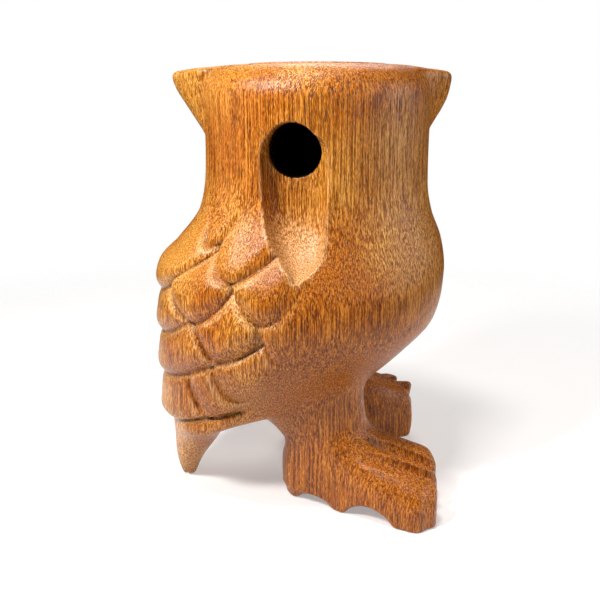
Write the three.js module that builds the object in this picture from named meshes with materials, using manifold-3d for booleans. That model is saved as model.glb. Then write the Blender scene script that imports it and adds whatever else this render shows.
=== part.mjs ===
// A hand-carved wooden owl whistle, blown across a hole like a bottle.
// One block is carved as the owl: body, turned head, ears, feathers, tail, legs and feet.
// A chamber is bored down from the flat top of the head and closed with a wooden plug.
// The blow hole enters the chamber through the back of the head, with a scoop below it for the lip.
// Each eye is a pale disc glued into a drilled socket, with a dark peg as its pupil.
// Units are millimetres. +Z is up, the face looks along +Y and the blow hole opens along -Y.

import * as THREE from "three";
import { mergeVertices } from "three/addons/utils/BufferGeometryUtils.js";
import Module from "manifold-3d";

const wasm = await Module();
wasm.setup();

// The whole figure
const overallHeight = 91;
const bodyTurn = THREE.MathUtils.degToRad(20); // the body's front, from +X towards the face
const glueGap = 0.3;

// The head
const headRadius = 23.7;
const headForward = 2.8; // its axis, ahead of the body's
const neckHeight = 61;
const topRimRadius = 6;

// The body in side view: how far it reaches back and forward of its axis
const bellyHeight = 46;
const bellyReach = 30.9;
const backReach = 30.7;
const bodyHalfWidth = 28.2;
const rumpHeight = 22.6; // the underside between the legs
const rumpReach = 12.5;
const rumpHalfWidth = 20;

// The tail
const tailRootHeight = 12;
const tailRootBack = 29.4;
const tailThickness = 12;
const tailRootHalfWidth = 10;
const tailTipBack = 27;
const tailTipRadius = 1.2;

// The feathers
const featherRelief = 1.9;
const featherLength = 15;
const featherSink = 0.5; // how far a feather's root lies under the surface
const wingFrontStart = 68; // degrees round from the middle of the back, where the relief begins to fade
const wingFrontEnd = 104;
const shoulderHeight = 64; // no feather's root lies higher

// The ears
const earReach = 30.1;
const earTurn = THREE.MathUtils.degToRad(5.5); // the ears' line, from the blow hole's square
const earShift = -1.9; // the ears sit a little to the tail's side of the head
const earTowardsFace = 3;
const earTopFall = 1.6; // how much lower the top lies at the ears' tips
const earRootThickness = 17;
const earTipThickness = 3.4;
const leftEar = { tipHeight: 2.8, drop: 12.8 }; // the drop is how far its root comes down the head
const rightEar = { tipHeight: 5.8, drop: 14.4 };

// The sound holes
const chamberRadius = 13;
const chamberFloor = 34;
const plugShoulder = 1.6; // the ledge the plug sits on
const plugThickness = 7;
const blowHoleRadius = 5.1;
const blowHoleDrop = 16; // how far its middle lies below the top
const blowHoleHeight = overallHeight - blowHoleDrop;
const scoopBottom = 50.6;
const scoopDepth = 4.6;
const scoopHalfWidth = 5.8;

// The face
const eyeDrop = 18;
const eyeHeight = overallHeight - eyeDrop;
const eyeSpread = THREE.MathUtils.degToRad(27); // each eye, from straight ahead
const eyeRadius = 7.4;
const eyeThickness = 4;
const eyeDome = 1.2;
const eyeRimHalfWidth = 1.8;
const eyeRimHeight = 1.2;
const pupilRadius = 3.1;
const pupilDepth = 2.6;
const pupilDome = 1;
const beakDrop = 20;
const beakTop = overallHeight - beakDrop;
const beakLength = 12;
const beakHalfWidth = 3.8;
const beakReach = 4.6;

// The legs and feet, measured from the body's axis
const ankleForward = 2.5;
const ankleAside = 13.8;
const ankleHeight = 19;
const legTopHeight = 29;
const legHalfLength = 10.2;
const legHalfWidth = 6.6;
const footSplay = THREE.MathUtils.degToRad(23);
const toeReach = 23.6;
const toeBulge = 0.9;
const toeSkew = 0.12; // how much further the toes reach on the blow hole's side
const heelReach = 8.8;
const heelHalfWidth = 4;
const toesHalfWidth = 10.8;
const toesAside = -1.7; // both feet's toes bend to the blow hole's side
const toeTilt = 0.13; // how much the foot's top falls towards its outer side
const instepHeight = 16;
const toeHeight = 10;
const farFootForward = 2.5; // the two feet differ, as cut by hand
const farToeHeight = 12.2;
const farToeOverhang = 2.7; // how far the far toes' front leans out over the sole
const toeGrooveRadius = 1.3;
const toeGrooveStart = 9;
const toeGrooveEnd = toeReach + 3;
const nearToeGrooves = [
  { startAside: -2.6, endAside: 0.6 },
  { startAside: -7.9, endAside: -3.6 },
];
const farToeGrooves = [
  { startAside: 0, endAside: -8.3 },
  { startAside: 3.5, endAside: -2.9 },
];
const arches = [
  { along: -0.2, rise: 1.9, radius: 5.2 },
  { along: 11, rise: 3.1, radius: 6.3 },
];

const around = (angle) => new THREE.Vector2(Math.cos(angle), Math.sin(angle));
const up = new THREE.Vector3(0, 0, 1);
const half = Math.PI / 2;

// A smooth curve through [position, value] knots, level beyond its two ends.
function curveThrough(knots) {
  const last = knots.length - 1;
  const slope = knots.map((knot, i) => {
    const before = knots[Math.max(i - 1, 0)];
    const after = knots[Math.min(i + 1, last)];
    return (after[1] - before[1]) / (after[0] - before[0]);
  });
  return (at) => {
    if (at <= knots[0][0]) return knots[0][1];
    if (at >= knots[last][0]) return knots[last][1];
    const i = knots.findIndex((knot) => knot[0] > at) - 1;
    const width = knots[i + 1][0] - knots[i][0];
    const t = (at - knots[i][0]) / width;
    const rise = knots[i + 1][1] - knots[i][1];
    const bend = slope[i] * width * (1 - t) ** 2 * t - slope[i + 1] * width * (1 - t) * t ** 2;
    return knots[i][1] + rise * t * t * (3 - 2 * t) + bend;
  };
}

// A closed skin over a stack of rings, each a list of as many points, turning left as the stack rises.
function skin(rings) {
  const count = rings[0].length;
  const points = rings.flat();
  const faces = [];
  for (let row = 0; row < rings.length - 1; row++) {
    for (let i = 0; i < count; i++) {
      const a = row * count + i;
      const b = row * count + ((i + 1) % count);
      faces.push(a, b, b + count, a, b + count, a + count);
    }
  }
  const middle = (ring) => ring.reduce((sum, p) => sum.add(p), new THREE.Vector3()).divideScalar(count);
  const bottom = points.push(middle(rings[0])) - 1;
  const top = points.push(middle(rings[rings.length - 1])) - 1;
  const topRow = (rings.length - 1) * count;
  for (let i = 0; i < count; i++) {
    const next = (i + 1) % count;
    faces.push(bottom, next, i, top, topRow + i, topRow + next);
  }
  return new THREE.BufferGeometry().setFromPoints(points).setIndex(faces);
}

// The solid inside a closed geometry, for joining and cutting.
function solid(geometry) {
  const bare = geometry.clone();
  bare.deleteAttribute("normal");
  bare.deleteAttribute("uv");
  const merged = mergeVertices(bare, 1e-4);
  return new wasm.Manifold(
    new wasm.Mesh({
      numProp: 3,
      vertProperties: merged.attributes.position.array,
      triVerts: new Uint32Array(merged.index.array),
    }),
  );
}

function geometryOf(shape) {
  const mesh = shape.getMesh();
  return new THREE.BufferGeometry()
    .setAttribute("position", new THREE.BufferAttribute(mesh.vertProperties, 3))
    .setIndex(new THREE.BufferAttribute(mesh.triVerts, 1))
    .toNonIndexed();
}

const joined = (shapes) => shapes.reduce((sum, shape) => sum.add(shape));

// A round bar from one point to another.
function bar(from, to, radius, sides = 32) {
  const along = to.clone().sub(from);
  const sideways = new THREE.Vector3(0, 1, 0);
  const turn = new THREE.Quaternion().setFromUnitVectors(sideways, along.clone().normalize());
  return new THREE.CylinderGeometry(radius, radius, along.length(), sides)
    .applyQuaternion(turn)
    .translate(...from.clone().add(to).divideScalar(2));
}

// A turned shape from its [radius, height] profile, standing on +Z.
function turned(profile, sides) {
  const points = profile.map(([radius, height]) => new THREE.Vector2(radius, height));
  return new THREE.LatheGeometry(points, sides).rotateX(half);
}

// A point given ahead, left and up of the body's axis.
function fromBody(ahead, left, height) {
  return new THREE.Vector3(ahead, left, height).applyAxisAngle(up, bodyTurn);
}

const headCentre = fromBody(headForward, 0, 0);

// Steps spread evenly over one span after another.
function steps(...spans) {
  const list = [spans[0][0]];
  for (const [from, to, count] of spans) {
    for (let i = 1; i <= count; i++) list.push(from + ((to - from) * i) / count);
  }
  return list;
}

// The body's outline in side and front view, from the tail's tip to the top of the head
const headBack = headForward - headRadius;
const headFront = headForward + headRadius;
const backOf = curveThrough([
  [0, -tailTipBack - 0.8],
  [tailRootHeight * 0.42, 0.2 - tailRootBack],
  [tailRootHeight, -tailRootBack],
  [rumpHeight, -backReach - 0.3],
  [rumpHeight + 5.4, -backReach - 0.5],
  [bellyHeight - 8, -backReach - 0.6],
  [bellyHeight, -backReach],
  [bellyHeight + 4, -backReach + 0.8],
  [bellyHeight + 8, -backReach + 3.6],
  [neckHeight, headBack - 1.4],
  [neckHeight + 8, headBack],
  [overallHeight, headBack],
]);
const frontOf = curveThrough([
  [0, 2 * tailTipRadius - tailTipBack - 0.8],
  [tailRootHeight * 0.42, tailThickness * 0.52 - tailRootBack],
  [tailRootHeight * 0.85, tailThickness * 0.8 - tailRootBack],
  [tailRootHeight + 1, tailThickness - 0.8 - tailRootBack],
  [tailRootHeight + 3.6, tailThickness + 1.8 - tailRootBack],
  [rumpHeight - 5.2, rumpReach - 22],
  [rumpHeight - 3.6, rumpReach - 14],
  [rumpHeight - 2, rumpReach - 6.6],
  [rumpHeight, rumpReach],
  [rumpHeight + 4.5, rumpReach + 5.6],
  [bellyHeight - 14, bellyReach - 7.4],
  [bellyHeight - 8, bellyReach - 2],
  [bellyHeight + 2, bellyReach],
  [neckHeight - 6, bellyReach - 0.9],
  [neckHeight, headFront + 1.1],
  [neckHeight + 6, headFront],
  [overallHeight, headFront],
]);
const halfWidthOf = curveThrough([
  [0, tailTipRadius],
  [tailRootHeight * 0.42, tailRootHalfWidth * 0.45],
  [tailRootHeight, tailRootHalfWidth],
  [rumpHeight - 6, rumpHalfWidth - 4.5],
  [rumpHeight, rumpHalfWidth],
  [bellyHeight - 10, bodyHalfWidth - 0.8],
  [bellyHeight, bodyHalfWidth],
  [neckHeight - 4, headRadius + 1.4],
  [neckHeight + 6, headRadius],
  [overallHeight, headRadius],
]);

// A point on the smooth body, so many degrees round from the middle of the back, and a height out from it.
function bodyPoint(degrees, height, out = 0) {
  const angle = THREE.MathUtils.degToRad(degrees);
  const rim = Math.max(0, height - overallHeight + topRimRadius);
  const inset = topRimRadius - Math.sqrt(Math.max(0, topRimRadius ** 2 - rim ** 2));
  const halfLength = (frontOf(height) - backOf(height)) / 2 - inset + out;
  const halfWidth = halfWidthOf(height) - inset + out;
  const centre = (frontOf(height) + backOf(height)) / 2;
  return fromBody(centre - halfLength * Math.cos(angle), -halfWidth * Math.sin(angle), height);
}

function smoothBody() {
  const rimStart = overallHeight - topRimRadius;
  const sides = steps(
    [0, tailRootHeight, 4],
    [tailRootHeight, rumpHeight, 6],
    [rumpHeight, neckHeight + 6, 15],
    [neckHeight + 6, rimStart, 2],
  );
  const rim = steps([0, half, 4]).map((angle) => rimStart + topRimRadius * Math.sin(angle));
  const heights = [...sides, ...rim.slice(1)];
  const angles = steps([0, 360, 44]).slice(0, -1);
  return solid(skin(heights.map((height) => angles.map((angle) => bodyPoint(angle, height)))));
}

// Each feather: degrees round from the middle of the back, the height of its tip, its half width in
// degrees and the height of its rounded end
const backFeathers = [
  [0, 44.5, 38, 10.5],
  [0, 35.4, 32, 5.2],
  [0, 26, 48, 6.4],
  [0, 15.8, 45, 2.6],
];
const sideFeathers = [
  [34, 55.6, 9, 5],
  [53, 50, 13, 5],
  [67, 42.5, 11.5, 5.5],
  [77.5, 34.5, 11, 5.75],
  [36, 41, 17, 6.5],
  [52, 33.8, 14.5, 5.8],
  [67, 25, 17, 6],
  [57, 20.2, 13, 3],
];
const mirrored = sideFeathers.map(([angle, ...rest]) => [-angle, ...rest]);
const feathers = [...backFeathers, ...sideFeathers, ...mirrored];

// One carved feather: a leaf that lies on the body, thickest along its rounded lower edge.
function feather([angle, tip, halfWidth, roundEnd]) {
  const length = Math.min(featherLength, shoulderHeight - tip);
  const columns = steps([-1, 1, halfWidth > 20 ? 14 : 7]);
  const rows = [0.006, 0.04, 0.12, 0.25, 0.42, 0.68, 1];
  const rings = rows.map((row) => {
    const spread = halfWidth * Math.min(1, Math.sqrt((row * length) / roundEnd));
    const height = tip + length * row;
    const outer = columns.map((column) => {
      const round = angle + spread * column;
      const edge = Math.min(1, (1 - Math.abs(column)) * 5) ** 0.5;
      const front = THREE.MathUtils.smoothstep(Math.abs(round), wingFrontStart, wingFrontEnd);
      const swell = Math.min(1, 0.4 + row * 10) * (1 - row) * (1 - 0.8 * front);
      return bodyPoint(round, height, featherRelief * swell * edge - featherSink * Math.max(row, 1 - edge));
    });
    const inner = [columns[columns.length - 1], columns[0]].map((column) =>
      bodyPoint(angle + spread * column, height, -2.5),
    );
    return [...outer, ...inner];
  });
  return solid(skin(rings));
}

// One ear, flush with the top of the head and drawn out to a blunt tip.
function ear(side) {
  const { tipHeight, drop } = side < 0 ? leftEar : rightEar;
  const rings = steps([0, 0.8, 4], [0.8, 1, 3]).map((along) => {
    const reach = THREE.MathUtils.lerp(headRadius * 0.55, earReach, along);
    const taper = THREE.MathUtils.clamp((earReach - reach) / (earReach - headRadius), 0, 1.2);
    const thickness = THREE.MathUtils.lerp(earTipThickness, earRootThickness, taper);
    const height = THREE.MathUtils.lerp(tipHeight, drop, taper);
    const round = along > 0.8 ? Math.sqrt(1 - ((along - 0.8) / 0.2) ** 2 * 0.85) : 1;
    const middle = overallHeight - 0.1 - earTopFall * along ** 2 - height / 2;
    return steps([0, 360, 18]).slice(0, -1).map((degrees) => {
      const edge = around(THREE.MathUtils.degToRad(degrees));
      const y = Math.sign(edge.x) * Math.abs(edge.x) ** 0.8 * (thickness / 2) * round;
      const z = Math.sign(edge.y) * Math.abs(edge.y) ** 0.35 * (height / 2) * round;
      const drift = earTowardsFace * (0.4 + 0.6 * along);
      return new THREE.Vector3(side * reach + earShift, side * y + drift, middle + z)
        .applyAxisAngle(up, earTurn)
        .add(headCentre);
    });
  });
  return solid(skin(rings));
}

// One leg with its foot; side is +1 on the face's side and -1 on the blow hole's side.
function legAndFoot(side) {
  const ankle = fromBody(ankleForward + (side > 0 ? farFootForward : 0), side * ankleAside, 0);
  const heading = bodyTurn + side * footSplay;
  const place = (along, aside, height) =>
    new THREE.Vector3(along, aside, height).applyAxisAngle(up, heading).add(ankle);

  const toesTop = side > 0 ? farToeHeight : toeHeight;
  const overhang = side > 0 ? farToeOverhang : 0;
  const footTop = curveThrough([
    [-heelReach, instepHeight * 0.62],
    [-heelReach * 0.4, instepHeight],
    [5, instepHeight],
    [toeReach * 0.5, toesTop + 3.6],
    [toeReach * 0.8, toesTop + 1],
    [toeReach, toesTop - 1.5],
  ]);
  const bend = curveThrough([[2, 0], [toeReach * 0.6, toesAside]]);
  const footHalfWidth = curveThrough([
    [-heelReach, heelHalfWidth * 0.5],
    [-heelReach * 0.7, heelHalfWidth],
    [toeReach * 0.27, (heelHalfWidth + toesHalfWidth) / 2 + 0.8],
    [toeReach * 0.75, toesHalfWidth - 0.5],
    [toeReach - 2, toesHalfWidth],
    [toeReach, toesHalfWidth - 2],
  ]);
  const sections = steps(
    [-heelReach, -heelReach * 0.6, 3],
    [-heelReach * 0.6, toeReach - 3, 11],
    [toeReach - 3, toeReach, 3],
  );
  const shape = sections.map((along) => {
    const height = footTop(along);
    const width = footHalfWidth(along);
    const front = THREE.MathUtils.smoothstep(along, toeReach - 5, toeReach);
    return steps([0, 180, 14]).map((degrees) => {
      const edge = around(THREE.MathUtils.degToRad(degrees));
      const aside = Math.sign(edge.x) * Math.abs(edge.x) ** 0.5 * width;
      const rise = Math.abs(edge.y) ** 0.55;
      return place(
        along + front * (toeBulge * (1 - edge.x ** 2) + overhang * (rise - 0.5) - toeSkew * aside),
        bend(along) + aside * (1 + 0.08 * edge.y),
        rise * (height - toeTilt * side * aside),
      );
    });
  });
  const foot = solid(skin(shape));

  const legReach = curveThrough([
    [4, 0.84],
    [10, 0.86],
    [13, 0.9],
    [17, 1.04],
    [20, 1.14],
    [24, 1.2],
    [legTopHeight, 1.25],
  ]);
  const legShift = curveThrough([[8, 1], [13, 0.6], [17, -1.8], [23, -4], [legTopHeight, -5]]);
  const leg = steps([4, ankleHeight, 5], [ankleHeight, legTopHeight, 3]).map((height) =>
    steps([0, 360, 20]).slice(0, -1).map((degrees) => {
      const edge = around(THREE.MathUtils.degToRad(degrees));
      edge.multiplyScalar(legReach(height));
      return place(edge.x * legHalfLength + legShift(height), edge.y * legHalfWidth, height);
    }),
  );

  const toeGrooves = side > 0 ? farToeGrooves : nearToeGrooves;
  const grooves = toeGrooves.map(({ startAside, endAside }) => {
    const start = place(toeGrooveStart, startAside, toesTop + 5.4 - toeTilt * side * startAside);
    const end = place(toeGrooveEnd, endAside, toesTop - 3.1 - toeTilt * side * endAside);
    return solid(bar(start, end, toeGrooveRadius, 12));
  });
  const notches = toeGrooves.map(({ endAside }) => {
    const foot = place(toeReach + 1.9 - overhang / 2, endAside, -1);
    const top = place(toeReach + 1.5 + overhang / 2, endAside, toesTop + 4);
    return solid(bar(foot, top, toeGrooveRadius * 1.3, 12));
  });
  const scallops = arches.map(({ along, rise, radius }) =>
    solid(bar(place(along, -20, rise - radius), place(along, 20, rise - radius), radius, 36)),
  );
  return joined([foot, solid(skin(leg))]).subtract(joined([...grooves, ...notches, ...scallops]));
}

// The bored sound chamber with the plug's seat above it
function chamber() {
  const seat = overallHeight - plugThickness;
  const radius = chamberRadius + plugShoulder;
  return solid(
    turned(
      [
        [0, chamberFloor],
        [chamberRadius * 0.9, chamberFloor + 1],
        [chamberRadius, chamberFloor + 3],
        [chamberRadius, seat],
        [radius, seat],
        [radius, overallHeight + 1],
        [0, overallHeight + 1],
      ],
      44,
    ).translate(headCentre.x, headCentre.y, 0),
  );
}

function blowHole() {
  const inside = new THREE.Vector3(headCentre.x, headCentre.y - chamberRadius * 0.6, blowHoleHeight);
  const outside = new THREE.Vector3(headCentre.x, headCentre.y - headRadius - 5, blowHoleHeight);
  return solid(bar(inside, outside, blowHoleRadius, 36));
}

// The hollow that takes the lower lip: a long drop shape carved from the hole down to the shoulder
function scoop() {
  const tall = blowHoleHeight - scoopBottom;
  const rises = [0, 0.07, 0.17, 0.3, 0.42, 0.61, 0.85, 1, 1.1, 1.16];
  const along = (values) => curveThrough(rises.map((rise, i) => [rise, values[i]]));
  const widthShare = along([0.06, 0.3, 0.6, 0.78, 0.88, 0.97, 1, 0.98, 0.8, 0.3]);
  const depthShare = along([0.05, 0.5, 0.82, 1, 0.97, 0.9, 0.72, 0.6, 0.4, 0.1]);
  const shift = along([1, 1.6, 1.6, 0.9, 0.4, 0, 0, 0, 0, 0]);
  const rings = steps([0, 0.2, 5], [0.2, 1, 9], [1, 1.16, 3]).map((rise) => {
    const height = scoopBottom + tall * rise;
    const surface = -bodyPoint(90 - THREE.MathUtils.radToDeg(bodyTurn), height).y;
    return steps([0, 360, 20]).slice(0, -1).map((degrees) => {
      const edge = around(THREE.MathUtils.degToRad(degrees));
      const sunk = edge.y > 0 ? scoopDepth * depthShare(rise) * edge.y ** 0.75 : 3 * edge.y;
      const aside = Math.sign(edge.x) * Math.abs(edge.x) ** 0.9 * scoopHalfWidth * widthShare(rise);
      return new THREE.Vector3(headCentre.x + shift(rise) + aside, sunk - surface, height);
    });
  });
  return solid(skin(rings));
}

// Where each eye sits, facing out of the head
const eyes = [-1, 1].map((side) => {
  const direction = new THREE.Vector3(side * Math.sin(eyeSpread), Math.cos(eyeSpread), 0);
  const turn = new THREE.Quaternion().setFromUnitVectors(up, direction);
  const seat = headCentre.clone().addScaledVector(direction, headRadius - eyeThickness).setZ(eyeHeight);
  return { side, direction, turn, seat };
});

const placed = (geometry, eye, out = 0) =>
  geometry.applyQuaternion(eye.turn).translate(...eye.seat.clone().addScaledVector(eye.direction, out));

// A domed disc with a drilled or solid middle, from its back face up.
function iris() {
  const socket = pupilRadius + glueGap;
  const floor = eyeThickness - pupilDepth;
  const dome = (radius) => eyeThickness + eyeDome * (1 - (radius / eyeRadius) ** 2);
  const rim = steps([eyeRadius - 0.3, socket, 5]).map((radius) => [radius, dome(radius)]);
  const side = [[0, 0], [eyeRadius, 0], [eyeRadius, eyeThickness - 0.2]];
  return turned([...side, ...rim, [socket, floor], [0, floor]], 36);
}

function pupil() {
  const top = eyeThickness + eyeDome - 0.3;
  const crown = steps([90, 0, 5]).map((degrees) => {
    const edge = around(THREE.MathUtils.degToRad(90 - degrees));
    return [pupilRadius * edge.x, top + pupilDome * edge.y];
  });
  crown.sort((a, b) => b[0] - a[0]);
  const seat = eyeThickness - pupilDepth + glueGap;
  return turned([[0, 0], [pupilRadius, 0], ...crown.map(([radius, height]) => [radius, height - seat])], 24);
}

// The raised ring round each eye, the brow between them and the beak
function faceRelief(eye) {
  const inner = eyeRadius - 1;
  const outer = eyeRadius + glueGap + 2 * eyeRimHalfWidth;
  const ring = turned(
    [
      [inner, 0],
      [outer, 0],
      [outer - 0.4, eyeThickness - 0.4],
      [outer - eyeRimHalfWidth * 0.7, eyeThickness + eyeRimHeight * 0.8],
      [outer - eyeRimHalfWidth * 1.5, eyeThickness + eyeRimHeight],
      [inner, eyeThickness + eyeRimHeight * 0.6],
      [inner, 0],
    ],
    32,
  );
  return solid(placed(ring, eye));
}

function beak() {
  const rings = steps([0, 1, 8]).map((t) => {
    const height = beakTop - beakLength * (1 - t);
    const width = beakHalfWidth * Math.sin(Math.PI * (0.06 + 0.8 * t)) ** 0.6;
    const reach = headRadius + beakReach * Math.sin(Math.PI * (0.1 + 0.62 * (1 - t))) ** 1.1;
    return steps([0, 360, 16]).slice(0, -1).map((degrees) => {
      const edge = around(THREE.MathUtils.degToRad(degrees));
      const y = edge.y > 0 ? headRadius - 2 + (reach - headRadius + 2) * edge.y : headRadius - 2 + 3 * edge.y;
      return new THREE.Vector3(headCentre.x + edge.x * width, headCentre.y + y, height);
    });
  });
  return solid(skin(rings));
}

function owlBody() {
  const carved = joined([
    smoothBody(),
    ...feathers.map(feather),
    ear(-1),
    ear(1),
    legAndFoot(-1),
    legAndFoot(1),
    ...eyes.map(faceRelief),
    beak(),
  ]);
  const socketRadius = eyeRadius + glueGap;
  const socketTop = eyeThickness + 4;
  const profile = [[0, -glueGap], [socketRadius, -glueGap], [socketRadius, socketTop], [0, socketTop]];
  const sockets = eyes.map((eye) => solid(placed(turned(profile, 36), eye)));
  return carved.subtract(joined([chamber(), blowHole(), scoop(), ...sockets]));
}

function plug() {
  const radius = chamberRadius + plugShoulder - glueGap;
  const bottom = overallHeight - plugThickness + glueGap;
  const edge = 0.4;
  const profile = [
    [0, bottom],
    [radius, bottom],
    [radius, overallHeight - edge],
    [radius - edge, overallHeight],
    [0, overallHeight],
  ];
  return turned(profile, 44).translate(headCentre.x, headCentre.y, 0);
}

const carvedWood = { color: 0xb5702c, roughness: 0.45, metalness: 0 };
const plugWood = { color: 0xa5642a, roughness: 0.5, metalness: 0 };
const paleWood = { color: 0xe3c48c, roughness: 0.4, metalness: 0 };
const darkWood = { color: 0x2c1a10, roughness: 0.35, metalness: 0 };

const owl = new THREE.Group();

function addPiece(name, geometry, finish) {
  const piece = new THREE.Mesh(geometry, new THREE.MeshStandardMaterial(finish));
  piece.name = name;
  owl.add(piece);
}

addPiece("owl_body", geometryOf(owlBody()), carvedWood);
addPiece("chamber_plug", plug(), plugWood);
for (const eye of eyes) {
  const name = eye.side < 0 ? "left" : "right";
  addPiece(`${name}_iris`, placed(iris(), eye), paleWood);
  addPiece(`${name}_pupil`, placed(pupil(), eye, eyeThickness - pupilDepth + glueGap), darkWood);
}

// The origin is under the middle of the whole figure, on the ground.
const size = new THREE.Box3().setFromObject(owl, true);
owl.position.set(-(size.min.x + size.max.x) / 2, -(size.min.y + size.max.y) / 2, -size.min.z);

export default owl;
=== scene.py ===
import math

import bpy
import numpy as np
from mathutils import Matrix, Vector


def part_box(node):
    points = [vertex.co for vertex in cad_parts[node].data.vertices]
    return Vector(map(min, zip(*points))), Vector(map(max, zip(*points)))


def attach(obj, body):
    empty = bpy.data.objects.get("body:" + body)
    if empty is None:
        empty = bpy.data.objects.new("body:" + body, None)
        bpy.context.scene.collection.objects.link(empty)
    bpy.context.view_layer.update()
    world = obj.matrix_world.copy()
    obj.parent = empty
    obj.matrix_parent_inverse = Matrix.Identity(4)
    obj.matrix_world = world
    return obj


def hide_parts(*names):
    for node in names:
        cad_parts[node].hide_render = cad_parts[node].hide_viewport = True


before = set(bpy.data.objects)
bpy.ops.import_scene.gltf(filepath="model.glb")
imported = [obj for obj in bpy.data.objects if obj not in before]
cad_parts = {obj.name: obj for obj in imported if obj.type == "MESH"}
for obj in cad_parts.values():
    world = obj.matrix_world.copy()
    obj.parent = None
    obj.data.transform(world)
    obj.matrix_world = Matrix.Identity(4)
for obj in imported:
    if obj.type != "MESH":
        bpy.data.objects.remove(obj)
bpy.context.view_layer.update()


# The carved owl: body, head, ears, feathers, tail, legs and feet.
# One block of honey-brown hardwood with the grain upright, cut with gouges, drilled, sanded and oiled.
# Every cut runs into its neighbour, so one field of depths gives the whole skin of the block.

MM = 0.001
owl_low, owl_high = (np.array(corner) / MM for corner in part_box("owl_body"))
plug_low, plug_high = (np.array(corner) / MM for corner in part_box("chamber_plug"))
TOP = owl_high[2]

BODY_TURN = math.radians(20)  # the body's front, from +X towards the face
HEAD_FORWARD = 2.8  # the head's axis, ahead of the body's
HEAD_RADIUS = 23.7
NECK = 61
RIM_ROUNDING = 7.2
TOP_EDGE_WEAR = 0.8  # rounds the top's edge over the ears as well
TOP_DOME = 0.5  # how much lower the top lies at the head's edge than at its middle
HEAD_AXIS = (plug_low + plug_high)[:2] / 2
BODY_AXIS = HEAD_AXIS - HEAD_FORWARD * np.array([math.cos(BODY_TURN), math.sin(BODY_TURN)])

BELLY = 46
BELLY_REACH = 30.9
BACK_REACH = 30.7
BODY_HALF_WIDTH = 28.2
RUMP = 22.6
RUMP_REACH = 12.5
RUMP_HALF_WIDTH = 20
TAIL_ROOT = 12
TAIL_ROOT_BACK = 29.4
TAIL_THICKNESS = 12
TAIL_ROOT_HALF_WIDTH = 10
TAIL_TIP_BACK = 27
TAIL_TIP_RADIUS = 1.2


def smooth_curve(*knots):
    """A curve through (position, value) knots: a cubic between neighbours, sloped at each knot like the
    line that joins the knots beside it, and level beyond both ends."""
    at, value = np.array(knots, float).T
    slope = np.empty_like(value)
    slope[1:-1] = (value[2:] - value[:-2]) / (at[2:] - at[:-2])
    slope[0] = (value[1] - value[0]) / (at[1] - at[0])
    slope[-1] = (value[-1] - value[-2]) / (at[-1] - at[-2])

    def curve(x):
        x = np.clip(x, at[0], at[-1])
        i = np.clip(np.searchsorted(at, x) - 1, 0, len(at) - 2)
        width = at[i + 1] - at[i]
        rise = value[i + 1] - value[i]
        t = (x - at[i]) / width
        bend = slope[i] * width * (1 - t) ** 2 * t - slope[i + 1] * width * (1 - t) * t**2
        return value[i] + rise * t * t * (3 - 2 * t) + bend

    return curve


def smooth_step(start, end, x):
    """From 0 at start to 1 at end, level at both: 3t squared less 2t cubed."""
    t = np.clip((x - start) / (end - start), 0, 1)
    return t * t * (3 - 2 * t)


def smooth_join(a, b, fillet):
    """The lesser of two depths, less a parabola where they differ by under the fillet's width."""
    near = np.maximum(fillet - np.abs(a - b), 0) / fillet
    return np.minimum(a, b) - near * near * fillet / 4


def smooth_cut(a, b, rounding):
    """The greater of two depths, rounded in the same way, which keeps what is inside both."""
    return -smooth_join(-a, -b, rounding)


def turned(x, y, angle):
    """The same point in axes turned by an angle."""
    return x * math.cos(angle) + y * math.sin(angle), y * math.cos(angle) - x * math.sin(angle)


HEAD_BACK = HEAD_FORWARD - HEAD_RADIUS
HEAD_FRONT = HEAD_FORWARD + HEAD_RADIUS
back_of = smooth_curve(
    (0, -TAIL_TIP_BACK - 1.2),
    (TAIL_ROOT * 0.42, -TAIL_ROOT_BACK),
    (TAIL_ROOT, -TAIL_ROOT_BACK - 0.3),
    (RUMP, -BACK_REACH),
    (RUMP + 5.4, -BACK_REACH - 0.1),
    (BELLY - 8, -BACK_REACH),
    (BELLY, -BACK_REACH + 0.3),
    (BELLY + 4, -BACK_REACH + 0.8),
    (BELLY + 8, -BACK_REACH + 4),
    (NECK, HEAD_BACK - 1.6),
    (NECK + 8, HEAD_BACK),
    (TOP, HEAD_BACK),
)
front_of = smooth_curve(
    (0, 2 * TAIL_TIP_RADIUS - TAIL_TIP_BACK - 0.8),
    (TAIL_ROOT * 0.42, TAIL_THICKNESS * 0.52 - TAIL_ROOT_BACK),
    (TAIL_ROOT * 0.85, TAIL_THICKNESS * 0.8 - TAIL_ROOT_BACK),
    (TAIL_ROOT + 1, TAIL_THICKNESS - 0.8 - TAIL_ROOT_BACK),
    (TAIL_ROOT + 3.8, TAIL_THICKNESS + 1.8 - TAIL_ROOT_BACK),
    (RUMP - 4.9, RUMP_REACH - 22),
    (RUMP - 3.3, RUMP_REACH - 14),
    (RUMP - 1.8, RUMP_REACH - 6.6),
    (RUMP, RUMP_REACH),
    (RUMP + 4.5, RUMP_REACH + 5.6),
    (BELLY - 14, BELLY_REACH - 7.4),
    (BELLY - 8, BELLY_REACH - 2),
    (BELLY + 2, BELLY_REACH),
    (NECK - 6, BELLY_REACH - 0.9),
    (NECK, HEAD_FRONT + 1.1),
    (NECK + 6, HEAD_FRONT),
    (TOP, HEAD_FRONT),
)
half_width_of = smooth_curve(
    (0, TAIL_TIP_RADIUS),
    (TAIL_ROOT * 0.42, TAIL_ROOT_HALF_WIDTH * 0.45),
    (TAIL_ROOT, TAIL_ROOT_HALF_WIDTH),
    (RUMP - 6, RUMP_HALF_WIDTH - 4.5),
    (RUMP, RUMP_HALF_WIDTH),
    (BELLY - 10, BODY_HALF_WIDTH - 0.8),
    (BELLY, BODY_HALF_WIDTH),
    (NECK - 4, HEAD_RADIUS + 1.4),
    (NECK + 6, HEAD_RADIUS),
    (TOP, HEAD_RADIUS),
)


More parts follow.
